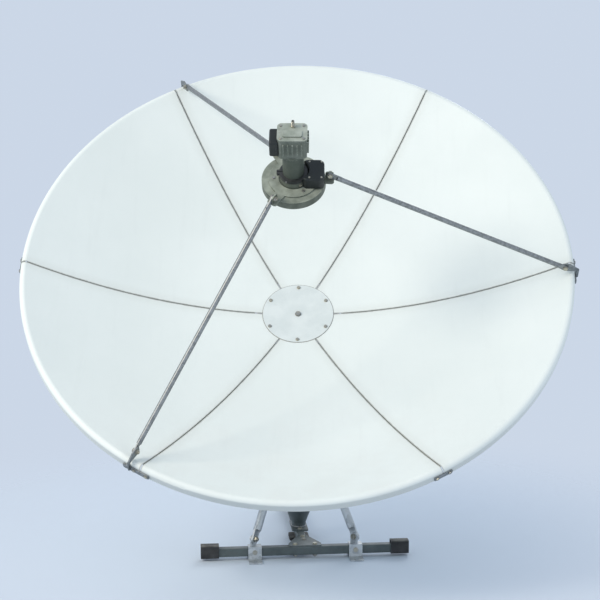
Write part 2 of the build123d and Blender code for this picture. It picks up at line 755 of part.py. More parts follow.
with BuildPart() as frame_bolts:
    for column in (-1, 1):
        for row in (-1, 1):
            spot = face_plane.from_local_coords(
                (column * frame_bolt_x, row * frame_bolt_y, 6 - HUB_DEPTH)
            )
            hex_bolt(Plane(origin=spot, x_dir=(1, 0, 0), z_dir=axis_dir), 5.0, 6 + GAP + FRAME_PLATE)
save(frame_bolts, "frame_bolts")

with BuildPart() as pivot_spacer:
    with BuildSketch(side_plane.offset(GAP - FRAME_PLATE_X)):
        Circle(14)
        Circle(PIVOT_BOLT_RADIUS + RUNNING_FIT, mode=Mode.SUBTRACT)
    extrude(amount=2 * (FRAME_PLATE_X - GAP))
save(pivot_spacer, "pivot_spacer")

# ---------------------------------------------------------------- azimuth head: sleeve and yoke
sleeve_inner = MAST_RADIUS + RUNNING_FIT
sleeve_outer = sleeve_inner + HEAD_WALL
yoke_base_sheet = 8.0
yoke_front_y = -58.0
yoke_rear_y = 108.0
clamp_bolt_heights = (HEAD_BOTTOM + 12, HEAD_BOTTOM + 40)
lock_spot = polar_point(LOCK_ARM, LOCK_ANGLE)

with BuildPart() as azimuth_sleeve:
    with BuildSketch(Plane.XY.offset(HEAD_BOTTOM)):
        Circle(sleeve_outer)
        Circle(sleeve_inner, mode=Mode.SUBTRACT)
    extrude(amount=HEAD_TOP - HEAD_BOTTOM)
    for height in clamp_bolt_heights:
        with BuildSketch(Plane(origin=(0, MAST_RADIUS, height), z_dir=(0, 1, 0))):
            Circle(5.3)
        extrude(amount=3 * HEAD_WALL, mode=Mode.SUBTRACT)
save(azimuth_sleeve, "azimuth_sleeve")

with BuildPart() as azimuth_cap:
    with BuildSketch(Plane.XY.offset(HEAD_TOP)):
        Circle(sleeve_outer + 2)
    extrude(amount=5)
    chamfer(azimuth_cap.edges().group_by(Axis.Z)[-1], 3)
save(azimuth_cap, "azimuth_cap")

with BuildPart() as azimuth_bolts:
    for height in clamp_bolt_heights:
        seat = Plane(origin=(0, sleeve_outer + GAP, height), x_dir=(1, 0, 0), z_dir=(0, 1, 0))
        extruded(seat, lambda: RegularPolygon(8.5, 6, major_radius=False), 8)
        hex_bolt(seat.offset(14), 5.0, 14 + GAP + HEAD_WALL - 0.4, nut=False)
save(azimuth_bolts, "azimuth_bolts")

with BuildPart() as yoke:
    with BuildSketch(Plane.XY.offset(YOKE_BASE_Z)):
        with Locations((0, (yoke_front_y + yoke_rear_y) / 2)):
            RectangleRounded(2 * (YOKE_PLATE_X + YOKE_PLATE) + 8, yoke_rear_y - yoke_front_y, 10)
        Circle(sleeve_outer + GAP, mode=Mode.SUBTRACT)
    extrude(amount=yoke_base_sheet)
    ear_bottom = YOKE_BASE_Z + yoke_base_sheet - PIVOT_Z
    for side in (-1, 1):
        with BuildSketch(side_sheet(YOKE_PLATE_X, YOKE_PLATE, side)):
            Circle(28)
            with Locations(lock_spot):
                Circle(22)
            with Locations((10, ear_bottom + 8)):
                Rectangle(138, 16)
            make_hull()
            Circle(PIVOT_BOLT_RADIUS + GAP, mode=Mode.SUBTRACT)
            with Locations(lock_spot):
                Circle(lock_bolt_radius + GAP, mode=Mode.SUBTRACT)
            with Locations((-12, -88)):
                Circle(20, mode=Mode.SUBTRACT)
        extrude(amount=YOKE_PLATE)
    for angle in (0, 90, 180, 270):
        with BuildSketch(Plane.XZ.rotated((0, 0, angle)).offset(-2.5)):
            with BuildLine():
                Polyline(
                    (sleeve_outer + GAP, YOKE_BASE_Z),
                    (sleeve_outer + 18, YOKE_BASE_Z),
                    (sleeve_outer + GAP, YOKE_BASE_Z - 52),
                    close=True,
                )
            make_face()
        extrude(amount=5)
save(yoke, "yoke")

for label, radius, centre in (
    ("pivot_bolt", PIVOT_BOLT_RADIUS, (0, 0)),
    ("lock_bolt", lock_bolt_radius, lock_spot),
):
    outer_face = side_plane.offset(YOKE_PLATE_X + YOKE_PLATE)
    spot = outer_face.from_local_coords((*centre, 0))
    with BuildPart() as cross_bolt:
        hex_bolt(
            Plane(origin=spot, x_dir=(0, 1, 0), z_dir=(1, 0, 0)),
            radius,
            2 * (YOKE_PLATE_X + YOKE_PLATE),
        )
    save(cross_bolt, label)

# ---------------------------------------------------------------- mast
spine_top = BAR_Z + BAR / 2
foot_sheet = 6.0
mast_foot_radius = 25.0

with BuildPart() as mast:
    with BuildSketch(Plane.XY.offset(MAST_BOTTOM)):
        Circle(MAST_RADIUS)
        Circle(MAST_RADIUS - MAST_WALL, mode=Mode.SUBTRACT)
    extrude(amount=MAST_TOP - MAST_BOTTOM)
save(mast, "mast", BASE_TURN)

with BuildPart() as mast_foot:
    with BuildSketch(Plane.XY.offset(spine_top)):
        RectangleRounded(58, 124, 8)
        with Locations((0, 48), (0, -48)):
            Circle(4.4, mode=Mode.SUBTRACT)
    extrude(amount=foot_sheet)
    with BuildSketch(Plane.XZ):
        with BuildLine():
            Polyline(
                (0, spine_top + foot_sheet),
                (mast_foot_radius, spine_top + foot_sheet),
                (mast_foot_radius, spine_top + foot_sheet + 12),
                (MAST_RADIUS, MAST_BOTTOM),
                (MAST_RADIUS - MAST_WALL - 0.4, MAST_BOTTOM),
                (MAST_RADIUS - MAST_WALL - 0.4, MAST_BOTTOM + 16),
                (0, MAST_BOTTOM + 16),
                close=True,
            )
        make_face()
    revolve(axis=Axis.Z)
save(mast_foot, "mast_foot", BASE_TURN)

# ---------------------------------------------------------------- ground frame
def box_tube(plane, length):
    """Square tube whose middle lies at the plane's origin."""
    with BuildSketch(plane) as outline:
        RectangleRounded(BAR, BAR, 4)
        RectangleRounded(BAR - 2 * BAR_WALL, BAR - 2 * BAR_WALL, 2, mode=Mode.SUBTRACT)
    extrude(outline.sketch, amount=length / 2, both=True)


def drill(plane, spots, radius, depth):
    """Straight holes down the plane's -z."""
    with BuildSketch(plane) as holes:
        with Locations(*spots):
            Circle(radius)
    extrude(holes.sketch, amount=-depth, mode=Mode.SUBTRACT)


bar_front_face = Plane(origin=(0, BAR_Y - BAR / 2, BAR_Z), x_dir=(1, 0, 0), z_dir=(0, -1, 0))
top_face = Plane.XY.offset(spine_top)
spine_front = BAR_Y + BAR / 2 + GAP
spine_length = REAR_Y - spine_front
rear_shoe_y = REAR_Y - 92
gusset_spots = ((-34, BAR_Y), (34, BAR_Y), (0, BAR_Y + 58), (0, BAR_Y + 92))
foot_spots = ((0, 48), (0, -48))
m8 = 4.0
m10 = 5.0

with BuildPart() as front_bar:
    box_tube(Plane(origin=(0, BAR_Y, BAR_Z), z_dir=(1, 0, 0)), BAR_LENGTH)
    drill(bar_front_face.offset(1), ((-SHOE_X, 0), (SHOE_X, 0)), m8 + 0.4, BAR + 2)
    drill(top_face.offset(1), gusset_spots[:2], m8 + 0.4, BAR + 2)
save(front_bar, "front_bar", BASE_TURN)

with BuildPart() as spine_rail:
    middle = (0, spine_front + spine_length / 2, BAR_Z)
    box_tube(Plane(origin=middle, x_dir=(1, 0, 0), z_dir=(0, 1, 0)), spine_length)
    drill(top_face.offset(1), gusset_spots[2:], m8 + 0.4, BAR + 2)
    drill(top_face.offset(1), foot_spots, m8 + 0.4, BAR + 2)
    side_face = Plane(origin=(BAR / 2 + 1, rear_shoe_y, BAR_Z), x_dir=(0, 1, 0), z_dir=(1, 0, 0))
    drill(side_face, ((0, 0),), m8 + 0.4, BAR + 2)
save(spine_rail, "spine_rail", BASE_TURN)

boot_length = 62.0
boot_wall = 4.0
with BuildPart() as bar_boots:
    for origin, outward in (
        ((-BAR_LENGTH / 2, BAR_Y, BAR_Z), (-1, 0, 0)),
        ((BAR_LENGTH / 2, BAR_Y, BAR_Z), (1, 0, 0)),
        ((0, REAR_Y, BAR_Z), (0, 1, 0)),
    ):
        end = Plane(origin=origin, x_dir=Vector(outward).cross(Vector(0, 0, 1)), z_dir=outward)
        height = BAR_Z + BAR / 2 + boot_wall
        with BuildSketch(end.offset(-boot_length + boot_wall)):
            with Locations((0, (BAR / 2 + boot_wall) - height / 2)):
                RectangleRounded(BAR + 2 * boot_wall, height, 6)
        extrude(amount=boot_length)
        with BuildSketch(end.offset(-boot_length)):
            RectangleRounded(BAR + 2 * GAP, BAR + 2 * GAP, 4)
        extrude(amount=boot_length, mode=Mode.SUBTRACT)
save(bar_boots, "bar_boots", BASE_TURN)


def shoe_section():
    """Hat section that straddles a bar and stands on the ground on two flanges."""
    inner = BAR / 2 + GAP
    outer = inner + SHOE_SHEET
    reach = outer + ANCHOR_REACH
    top = spine_top + GAP
    with BuildLine() as outline:
        Polyline(
            (-reach, 0),
            (-inner, 0),
            (-inner, top),
            (inner, top),
            (inner, 0),
            (reach, 0),
            (reach, SHOE_SHEET),
            (outer, SHOE_SHEET),
            (outer, top + SHOE_SHEET),
            (-outer, top + SHOE_SHEET),
            (-outer, SHOE_SHEET),
            (-reach, SHOE_SHEET),
            close=True,
        )
    make_face(outline.edges())


lug_sheet = 5.0
leg_foot_height = spine_top + SHOE_SHEET + 24
collar_lug_radius = 76.0
collar_lug_height = COLLAR_Z + COLLAR_HEIGHT / 2
collar_outer = MAST_RADIUS + 8
leg_feet = {
    "leg_front_left": (-SHOE_X, BAR_Y),
    "leg_front_right": (SHOE_X, BAR_Y),
    "leg_rear": (0.0, rear_shoe_y),
}


def leg_plane(foot):
    """Upright plane through the mast's axis and a leg's foot: x is the distance from the mast."""
    outward = Vector(*foot).normalized()
    return Plane(origin=(0, 0, 0), x_dir=outward, z_dir=outward.cross(Vector(0, 0, 1)))


with BuildPart() as leg_shoes:
    for foot in leg_feet.values():
        across = (0, 1, 0) if foot[0] else (1, 0, 0)
        along = Vector(across).cross(Vector(0, 0, 1))
        with BuildSketch(Plane(origin=(*foot, 0), x_dir=across, z_dir=along)):
            shoe_section()
        extrude(amount=SHOE_WIDTH / 2, both=True)
        distance = Vector(*foot).length
        with BuildSketch(leg_plane(foot).offset(LEG_FLAT / 2 + GAP)):
            with Locations((distance, spine_top + SHOE_SHEET + 16)):
                RectangleRounded(32, 44, 10)
            with Locations((distance, spine_top + SHOE_SHEET - 5)):
                Rectangle(60, 10 - 2 * GAP, mode=Mode.SUBTRACT)
            with Locations((distance, leg_foot_height)):
                Circle(m10 + 0.4, mode=Mode.SUBTRACT)
        extrude(amount=lug_sheet)
        holes = Plane(origin=(*foot, SHOE_SHEET + 1), x_dir=across, z_dir=(0, 0, 1))
        drill(holes, ((-ANCHOR_OFFSET, 0), (ANCHOR_OFFSET, 0)), ANCHOR_HOLE, SHOE_SHEET + 2)
        bolt_face = Plane(origin=(*foot, BAR_Z), x_dir=along, z_dir=across).offset(BAR)
        drill(bolt_face, ((0, 0),), m8 + 0.4, 2 * BAR)
save(leg_shoes, "leg_shoes", BASE_TURN)

with BuildPart() as mast_collar:
    with BuildSketch(Plane.XY.offset(COLLAR_Z)):
        Circle(collar_outer)
        Circle(MAST_RADIUS + GAP, mode=Mode.SUBTRACT)
    extrude(amount=COLLAR_HEIGHT)
    for foot in leg_feet.values():
        with BuildSketch(leg_plane(foot).offset(LEG_FLAT / 2 + GAP)):
            with Locations((collar_lug_radius - 7, collar_lug_height)):
                RectangleRounded(44, 36, 8)
            with Locations((collar_lug_radius, collar_lug_height)):
                Circle(m10 + 0.4, mode=Mode.SUBTRACT)
        extrude(amount=lug_sheet)
    with BuildSketch(Plane.XY.offset(COLLAR_Z - 1)):
        Circle(MAST_RADIUS + GAP)
    extrude(amount=COLLAR_HEIGHT + 2, mode=Mode.SUBTRACT)
save(mast_collar, "mast_collar", BASE_TURN)

leg_flat_length = 52.0
for label, foot in leg_feet.items():
    plane = leg_plane(foot)
    low = plane.from_local_coords((Vector(*foot).length, leg_foot_height, 0))
    high = plane.from_local_coords((collar_lug_radius, collar_lug_height, 0))
    along = (high - low).normalized()
    span = (high - low).length
    with BuildPart() as leg:
        with BuildSketch(Plane(origin=low + along * leg_flat_length * 0.6, z_dir=along)):
            Circle(LEG_RADIUS)
            Circle(LEG_RADIUS - 2, mode=Mode.SUBTRACT)
        extrude(amount=span - leg_flat_length * 1.2)
        with BuildSketch(Plane(origin=low, x_dir=along, z_dir=plane.z_dir)):
            for middle in (leg_flat_length / 2 - 9, span - leg_flat_length / 2 + 9):
                with Locations((middle, 0)):
                    RectangleRounded(leg_flat_length + 14, 2 * LEG_RADIUS + 4, 10)
        extrude(amount=LEG_FLAT / 2, both=True)
        with BuildSketch(Plane(origin=low, x_dir=along, z_dir=plane.z_dir)):
            with Locations((0, 0), (span, 0)):
                Circle(m10 + 0.4)
        extrude(amount=LEG_FLAT, both=True, mode=Mode.SUBTRACT)
    save(leg, label, BASE_TURN)

with BuildPart() as leg_bolts:
    for foot in leg_feet.values():
        face = leg_plane(foot).offset(LEG_FLAT / 2 + GAP + lug_sheet)
        for radius, height in (
            (Vector(*foot).length, leg_foot_height),
            (collar_lug_radius, collar_lug_height),
        ):
            spot = face.from_local_coords((radius, height, 0))
            grip = lug_sheet + GAP + LEG_FLAT
            hex_bolt(Plane(origin=spot, x_dir=face.x_dir, z_dir=face.z_dir), m10, grip)
save(leg_bolts, "leg_bolts", BASE_TURN)

with BuildPart() as tee_gusset:
    with BuildSketch(top_face.offset(GAP)):
        with BuildLine():
            Polyline(
                (-56, BAR_Y - 14),
                (56, BAR_Y - 14),
                (56, BAR_Y + 14),
                (14, BAR_Y + 112),
                (-14, BAR_Y + 112),
                (-56, BAR_Y + 14),
                close=True,
            )
        make_face()
        with Locations(*gusset_spots):
            Circle(m8 + 0.4, mode=Mode.SUBTRACT)
    extrude(amount=4)
save(tee_gusset, "tee_gusset", BASE_TURN)

pad_height = BAR_Z - BAR / 2
with BuildPart() as centre_pad:
    with BuildSketch(Plane.XY):
        RectangleRounded(70, 70, 10)
    extrude(amount=pad_height - GAP)
save(centre_pad, "centre_pad", BASE_TURN)

with BuildPart() as base_bolts:
    for x, y in gusset_spots:
        spot = (x, y, spine_top + GAP + 4)
        hex_bolt(Plane(origin=spot, z_dir=(0, 0, 1)), m8, BAR + GAP + 4)
    for x, y in foot_spots:
        hex_bolt(Plane(origin=(x, y, spine_top + foot_sheet), z_dir=(0, 0, 1)), m8, BAR + foot_sheet)
    shoe_face = BAR / 2 + GAP + SHOE_SHEET
    for foot in leg_feet.values():
        outward = Vector(0, -1, 0) if foot[0] else Vector(1, 0, 0)
        spot = Vector(*foot, BAR_Z) + outward * shoe_face
        hex_bolt(Plane(origin=spot, x_dir=(0, 0, 1), z_dir=outward), m8, 2 * shoe_face)
save(base_bolts, "base_bolts", BASE_TURN)
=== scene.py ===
"""Looks for the satellite dish: materials for every CAD node, weld beads, scales, seals, light and camera.

Metres, in the CAD frame: +Z up, the dish looks towards -Y and up. Angles are in degrees.
"""

import json
import math
import random

import bmesh
import bpy
from mathutils import Matrix, Vector


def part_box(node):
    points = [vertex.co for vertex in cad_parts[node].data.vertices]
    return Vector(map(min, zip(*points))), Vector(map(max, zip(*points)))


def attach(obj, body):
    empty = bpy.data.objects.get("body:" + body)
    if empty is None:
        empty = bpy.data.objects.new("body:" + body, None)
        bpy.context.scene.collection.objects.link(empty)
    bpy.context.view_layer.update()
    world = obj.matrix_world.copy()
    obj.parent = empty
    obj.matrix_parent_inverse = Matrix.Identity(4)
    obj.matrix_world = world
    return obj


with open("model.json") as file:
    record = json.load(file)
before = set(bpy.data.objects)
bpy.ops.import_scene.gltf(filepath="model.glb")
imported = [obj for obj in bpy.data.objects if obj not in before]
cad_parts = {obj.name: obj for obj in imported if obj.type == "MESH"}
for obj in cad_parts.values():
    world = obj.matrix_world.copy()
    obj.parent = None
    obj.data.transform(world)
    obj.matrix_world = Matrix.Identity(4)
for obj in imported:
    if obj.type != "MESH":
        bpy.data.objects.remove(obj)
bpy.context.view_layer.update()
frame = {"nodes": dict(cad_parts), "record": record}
random.seed(7)

# ------------------------------------------------------------------ sizes of the CAD parts
FOCAL = 0.690
DISH_RADIUS = 0.900
SEAMS = [60 * index for index in range(6)]
RIB_THICKNESS = 0.003
HUB_RADIUS = 0.143
HUB_COVER_RADIUS = 0.122
SKEW_HEIGHT = 0.745
SKEW_RING_RADIUS = 0.0442
FEED_COLLAR_RADIUS = 0.04325
FEED_COLLAR_TOP = 0.740
SERVO_TOP = 0.7624
RECEIVER_FRONT = 0.848
RECEIVER_BACK = 0.924
RECEIVER_WIDTH = 0.088
RECEIVER_HEIGHT = 0.070
FRAME_INSIDE = 0.056
FRAME_OUTSIDE = 0.061
LOCK_ARM = 0.120
YOKE_OUTSIDE = 0.068
YOKE_BASE_DROP = 0.170
SLEEVE_RADIUS = 0.0495
MAST_COLLAR_RADIUS = 0.05245

# ------------------------------------------------------------------ places, from the frame
joints = {joint["name"]: joint for joint in frame["record"]["behaviour"]["joints"]}
mounts = {mount["name"]: mount for mount in frame["record"]["mounts"]}
RIGHT = Vector((1, 0, 0))
REARWARD = Vector((0, 1, 0))
UP = Vector((0, 0, 1))
PIVOT = Vector(joints["elevation"]["pos_m"])
BORESIGHT = Vector(joints["feed_skew"]["axis"]).normalized()
FACE_UP = BORESIGHT.cross(RIGHT).normalized()
VERTEX = Vector(joints["feed_skew"]["pos_m"]) - BORESIGHT * SKEW_HEIGHT
LEFT_FOOT = Vector(mounts["left_anchors"]["pos_m"])
RIGHT_FOOT = Vector(mounts["right_anchors"]["pos_m"])
REAR_FOOT = Vector(mounts["rear_anchors"]["pos_m"])


def bowl(radius):
    """Height of the paraboloid over its vertex."""
    return radius**2 / (4 * FOCAL)


def face_point(x, y, height):
    """Point given across the dish, up its face and along its boresight."""
    return VERTEX + RIGHT * x + FACE_UP * y + BORESIGHT * height


def face_direction(angle):
    """Direction across the dish, counted from its right towards the top of its face."""
    turn = math.radians(angle)
    return RIGHT * math.cos(turn) + FACE_UP * math.sin(turn)


def dish_point(radius, angle, height):
    """Point given in the dish's own cylindrical coordinates."""
    return VERTEX + face_direction(angle) * radius + BORESIGHT * height


def mast_direction(angle):
    """Level direction away from the mast, counted from its right towards the rear."""
    turn = math.radians(angle)
    return RIGHT * math.cos(turn) + REARWARD * math.sin(turn)


def top_of(node):
    """Highest point of a CAD node's box."""
    return max(corner[2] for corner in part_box(node))


def bottom_of(node):
    """Lowest point of a CAD node's box."""
    return min(corner[2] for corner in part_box(node))


# ------------------------------------------------------------------ camera
SENSOR = 36.0
LENS = 96.0
CAMERA_ELEVATION = 7.0
CAMERA_AZIMUTH = 1.6
CAMERA_DISTANCE = 5.32
AIM_BELOW = 0.125
AIM_RIGHT = 0.012


def make_camera():
    """Camera a little over the horizon and nearly square on, aimed just under the rim's centre."""
    turn = math.radians(CAMERA_AZIMUTH)
    rise = math.radians(CAMERA_ELEVATION)
    level = RIGHT * math.sin(turn) - REARWARD * math.cos(turn)
    back = level * math.cos(rise) + UP * math.sin(rise)
    across = RIGHT * math.cos(turn) + REARWARD * math.sin(turn)
    upright = across.cross(-back)
    rim_centre = VERTEX + BORESIGHT * bowl(DISH_RADIUS)
    data = bpy.data.cameras.new("camera")
    data.lens = LENS
    data.sensor_width = SENSOR
    camera = bpy.data.objects.new("camera", data)
    bpy.context.scene.collection.objects.link(camera)
    camera.location = rim_centre + back * CAMERA_DISTANCE
    aim = rim_centre - upright * AIM_BELOW + across * AIM_RIGHT
    camera.rotation_mode = "QUATERNION"
    camera.rotation_quaternion = (aim - camera.location).to_track_quat("-Z", "Y")
    bpy.context.scene.camera = camera


# ------------------------------------------------------------------ shader graphs
# The Mix node keeps its colour sockets at these places.
MIX_FIRST = 6
MIX_SECOND = 7
MIX_RESULT = 2

# How nearly the bevelled normal agrees with the true one, away from an edge and on it.
EDGE_FLAT = 0.98
EDGE_BENT = 0.80


class Graph:
    """A material's node tree, with short calls for the nodes used here."""

    def __init__(self, name):
        self.material = bpy.data.materials.new(name)
        self.material.use_nodes = True
        self.nodes = self.material.node_tree.nodes
        self.links = self.material.node_tree.links
        self.shader = self.nodes["Principled BSDF"]
        self.place = self.nodes.new("ShaderNodeTexCoord").outputs["Object"]

    def put(self, socket, value):
        """Set a socket's value, or link an output to it."""
        if isinstance(value, bpy.types.NodeSocket):
            self.links.new(value, socket)
        elif isinstance(value, tuple) and len(value) == 3 and socket.type == "RGBA":
            socket.default_value = (*value, 1)
        else:
            socket.default_value = value

    def scaled(self, scale):
        """Coordinates stretched by three factors."""
        node = self.nodes.new("ShaderNodeMapping")
        self.put(node.inputs["Vector"], self.place)
        node.inputs["Scale"].default_value = scale
        return node.outputs["Vector"]

    def noise(self, scale, detail=4.0, rough=0.55, place=None):
        """Fractal noise, from 0 to 1."""
        node = self.nodes.new("ShaderNodeTexNoise")
        self.put(node.inputs["Vector"], place or self.place)
        node.inputs["Scale"].default_value = scale
        node.inputs["Detail"].default_value = detail
        node.inputs["Roughness"].default_value = rough
        return node.outputs["Fac"]

    def cells(self, scale, colour=False):
        """Voronoi cells: the distance to their centres, or one random colour each."""
        node = self.nodes.new("ShaderNodeTexVoronoi")
        self.put(node.inputs["Vector"], self.place)
        node.inputs["Scale"].default_value = scale
        return node.outputs["Color" if colour else "Distance"]

    def ramp(self, value, low, high, to_low=0.0, to_high=1.0):
        """A value's stretch from low to high, mapped on to another stretch and held there."""
        node = self.nodes.new("ShaderNodeMapRange")
        node.interpolation_type = "SMOOTHSTEP"
        self.put(node.inputs["Value"], value)
        node.inputs["From Min"].default_value = low
        node.inputs["From Max"].default_value = high
        node.inputs["To Min"].default_value = to_low
        node.inputs["To Max"].default_value = to_high
        return node.outputs["Result"]

    def mix(self, factor, first, second):
        """Two colours mixed."""
        node = self.nodes.new("ShaderNodeMix")
        node.data_type = "RGBA"
        self.put(node.inputs["Factor"], factor)
        self.put(node.inputs[MIX_FIRST], first)
        self.put(node.inputs[MIX_SECOND], second)
        return node.outputs[MIX_RESULT]

    def maths(self, operation, first, second=0.0):
        """One arithmetic step."""
        node = self.nodes.new("ShaderNodeMath")
        node.operation = operation
        self.put(node.inputs[0], first)
        self.put(node.inputs[1], second)
        return node.outputs[0]

    def times(self, first, second):
        """Two values multiplied."""
        return self.maths("MULTIPLY", first, second)

    def axis(self, name):
        """One coordinate of the surface's place."""
        node = self.nodes.new("ShaderNodeSeparateXYZ")
        self.put(node.inputs[0], self.place)
        return node.outputs[name]

    def along(self, direction):
        """Distance from the dish's vertex along a direction of the dish."""
        away = self.nodes.new("ShaderNodeVectorMath")
        away.operation = "SUBTRACT"
        self.put(away.inputs[0], self.place)
        away.inputs[1].default_value = VERTEX
        node = self.nodes.new("ShaderNodeVectorMath")
        node.operation = "DOT_PRODUCT"
        self.put(node.inputs[0], away.outputs["Vector"])
        node.inputs[1].default_value = direction
        return node.outputs["Value"]

    def dish_radius(self):
        """Distance from the dish's axis."""
        x = self.along(RIGHT)
        y = self.along(FACE_UP)
        square = self.maths("ADD", self.times(x, x), self.times(y, y))
        return self.maths("SQRT", square)

    def from_seam(self):
        """Distance along the face from the nearest seam."""
        turn = self.maths("ARCTAN2", self.along(FACE_UP), self.along(RIGHT))
        nearest = self.maths("PINGPONG", turn, math.pi / len(SEAMS))
        return self.times(nearest, self.dish_radius())

    def facing_up(self, low=0.25, high=0.95):
        """How far the surface faces the sky at rest, from 0 at low to 1 at high."""
        node = self.nodes.new("ShaderNodeSeparateXYZ")
        self.put(node.inputs[0], self.nodes.new("ShaderNodeTexCoord").outputs["Normal"])
        return self.ramp(node.outputs["Z"], low, high)

    def edges(self, radius=0.0012):
        """Strips beside the edges, where paint wears."""
        geometry = self.nodes.new("ShaderNodeNewGeometry")
        bevel = self.nodes.new("ShaderNodeBevel")
        bevel.samples = 4
        bevel.inputs["Radius"].default_value = radius
        node = self.nodes.new("ShaderNodeVectorMath")
        node.operation = "DOT_PRODUCT"
        self.put(node.inputs[0], geometry.outputs["Normal"])
        self.put(node.inputs[1], bevel.outputs["Normal"])
        return self.ramp(node.outputs["Value"], EDGE_FLAT, EDGE_BENT)

    def bump(self, height, strength, distance):
        """Relief on top of what is there already; its distance is in metres."""
        node = self.nodes.new("ShaderNodeBump")
        node.inputs["Strength"].default_value = strength
        node.inputs["Distance"].default_value = distance
        self.put(node.inputs["Height"], height)
        last = self.shader.inputs["Normal"]
        if last.is_linked:
            self.put(node.inputs["Normal"], last.links[0].from_socket)
        self.put(last, node.outputs["Normal"])

    def finish(self, colour, roughness, metallic=0.0, specular=0.5):
        """Wire the shader's main sockets."""
        self.put(self.shader.inputs["Base Color"], colour)
        self.put(self.shader.inputs["Roughness"], roughness)
        self.shader.inputs["Metallic"].default_value = metallic
        self.shader.inputs["Specular IOR Level"].default_value = specular
        return self.material


def shade_of(colour, factor):
    """A colour made darker or lighter, up to white."""
    return tuple(min(1.0, factor * part) for part in colour)


def between(first, second):
    """The colour halfway between two colours."""
    return tuple(0.5 * (one + other) for one, other in zip(first, second))


# ------------------------------------------------------------------ materials
# Colours are linear red, green and blue. A pair is a surface's darker and lighter tone.
PETAL_COAT = ((0.775, 0.820, 0.778), (0.818, 0.860, 0.816))
PETAL_STREAK = (0.680, 0.715, 0.680)
PETAL_DUST = (0.640, 0.630, 0.580)
PETAL_SPECK = (0.42, 0.40, 0.36)
SEAM_GRIME = (0.270, 0.265, 0.235)
SEAM_STAIN = (0.480, 0.470, 0.400)
# Painted shade on the petals' outer lip, where it faces down.
LIP_PAINTED_SHADE = (0.430, 0.455, 0.440)
HUB_ENAMEL = ((0.665, 0.715, 0.690), (0.740, 0.785, 0.755))
HUB_BARE = (0.34, 0.36, 0.36)
HUB_DIRT = (0.46, 0.46, 0.43)
ZINC_DUST = (0.40, 0.38, 0.33)
ZINC_RUST = (0.30, 0.20, 0.12)
STEEL_CHIP = (0.30, 0.31, 0.31)
STEEL_DUST = (0.34, 0.33, 0.30)
STEEL_RUST = (0.17, 0.075, 0.035)
BOLT_ZINC = ((0.36, 0.36, 0.34), (0.50, 0.47, 0.38))
BOLT_RUST = (0.22, 0.13, 0.07)
# Painted shade on the receiver's throat, between its housing and the scalar ring.
NECK_PAINTED_SHADE = (0.052, 0.078, 0.050)
CAST_DUST = (0.45, 0.44, 0.38)
RUBBER_DUST = (0.26, 0.25, 0.22)
WELD_TINT = ((0.26, 0.27, 0.29), (0.42, 0.41, 0.38))
FLOOR = (0.62, 0.68, 0.75)

# Where the marks on the petals begin and end: heights over the ground for the dust, then distances
# from the nearest seam, then distances from the dish's axis for the painted shade on the lip.
DUST_TOP = 0.80
DUST_BOTTOM = 0.30
GRIME_HALF_WIDTH = 0.0020
GRIME_EDGE = 0.0062
GRIME_RAGGED = 0.0008
STAIN_HALF_WIDTH = 0.005
STAIN_EDGE = 0.040
LIP_INNER = 0.9050
LIP_OUTER = 0.9160


def petal_paint():
    """Pale powder coat: faint rain streaks, specks, dust low in the bowl, grime along seams, and painted
    shade on the outer lip where it faces down.
    """
    g = Graph("petal_paint")
    colour = g.mix(g.ramp(g.noise(2.2, 5), 0.3, 0.72), *PETAL_COAT)
    streak = g.ramp(g.noise(6.0, 6, 0.6, g.scaled((5.0, 0.5, 0.5))), 0.52, 0.78, 0.0, 0.16)
    colour = g.mix(streak, colour, PETAL_STREAK)
    low = g.ramp(g.axis("Z"), DUST_TOP, DUST_BOTTOM, 0.0, 0.16)
    dust = g.times(low, g.ramp(g.noise(9.0, 6), 0.35, 0.65))
    colour = g.mix(dust, colour, PETAL_DUST)
    wander = g.ramp(g.noise(60.0, 6), 0.3, 0.7, -GRIME_RAGGED, GRIME_RAGGED)
    ragged = g.maths("ADD", g.from_seam(), wander)
    grime = g.ramp(ragged, GRIME_HALF_WIDTH, GRIME_EDGE, 0.62, 0.0)
    colour = g.mix(grime, colour, SEAM_GRIME)
    stain = g.ramp(ragged, STAIN_HALF_WIDTH, STAIN_EDGE, 0.13, 0.0)
    colour = g.mix(stain, colour, SEAM_STAIN)
    # Painted shade: the outer lip is greyed where it faces down, as the shade under the rim's roll.
    lip = g.times(g.ramp(g.dish_radius(), LIP_INNER, LIP_OUTER), g.facing_up(-0.10, -0.75))
    colour = g.mix(g.times(lip, 0.55), colour, LIP_PAINTED_SHADE)
    speck = g.ramp(g.cells(240.0), 0.05, 0.09, 0.5, 0.0)
    rare = g.ramp(g.noise(14.0, 3), 0.60, 0.68)
    colour = g.mix(g.times(speck, rare), colour, PETAL_SPECK)
    g.bump(g.noise(420.0, 2), 0.10, 0.0004)
    g.bump(g.noise(3.5, 2), 0.25, 0.0020)
    return g.finish(colour, g.ramp(g.noise(5.0, 5), 0.3, 0.7, 0.46, 0.62), 0.0, 0.40)


def hub_paint():
    """Pale grey enamel on the hub cover, worn at its edges and dirty in patches."""
    g = Graph("hub_paint")
    colour = g.mix(g.ramp(g.noise(16.0, 5), 0.3, 0.7), *HUB_ENAMEL)
    colour = g.mix(g.times(g.edges(), 0.6), colour, HUB_BARE)
    colour = g.mix(g.ramp(g.noise(60.0, 6, 0.7), 0.60, 0.80, 0.0, 0.35), colour, HUB_DIRT)
    g.bump(g.noise(500.0, 2), 0.12, 0.0003)
    return g.finish(colour, g.ramp(g.noise(22.0, 4), 0.3, 0.7, 0.35, 0.55))


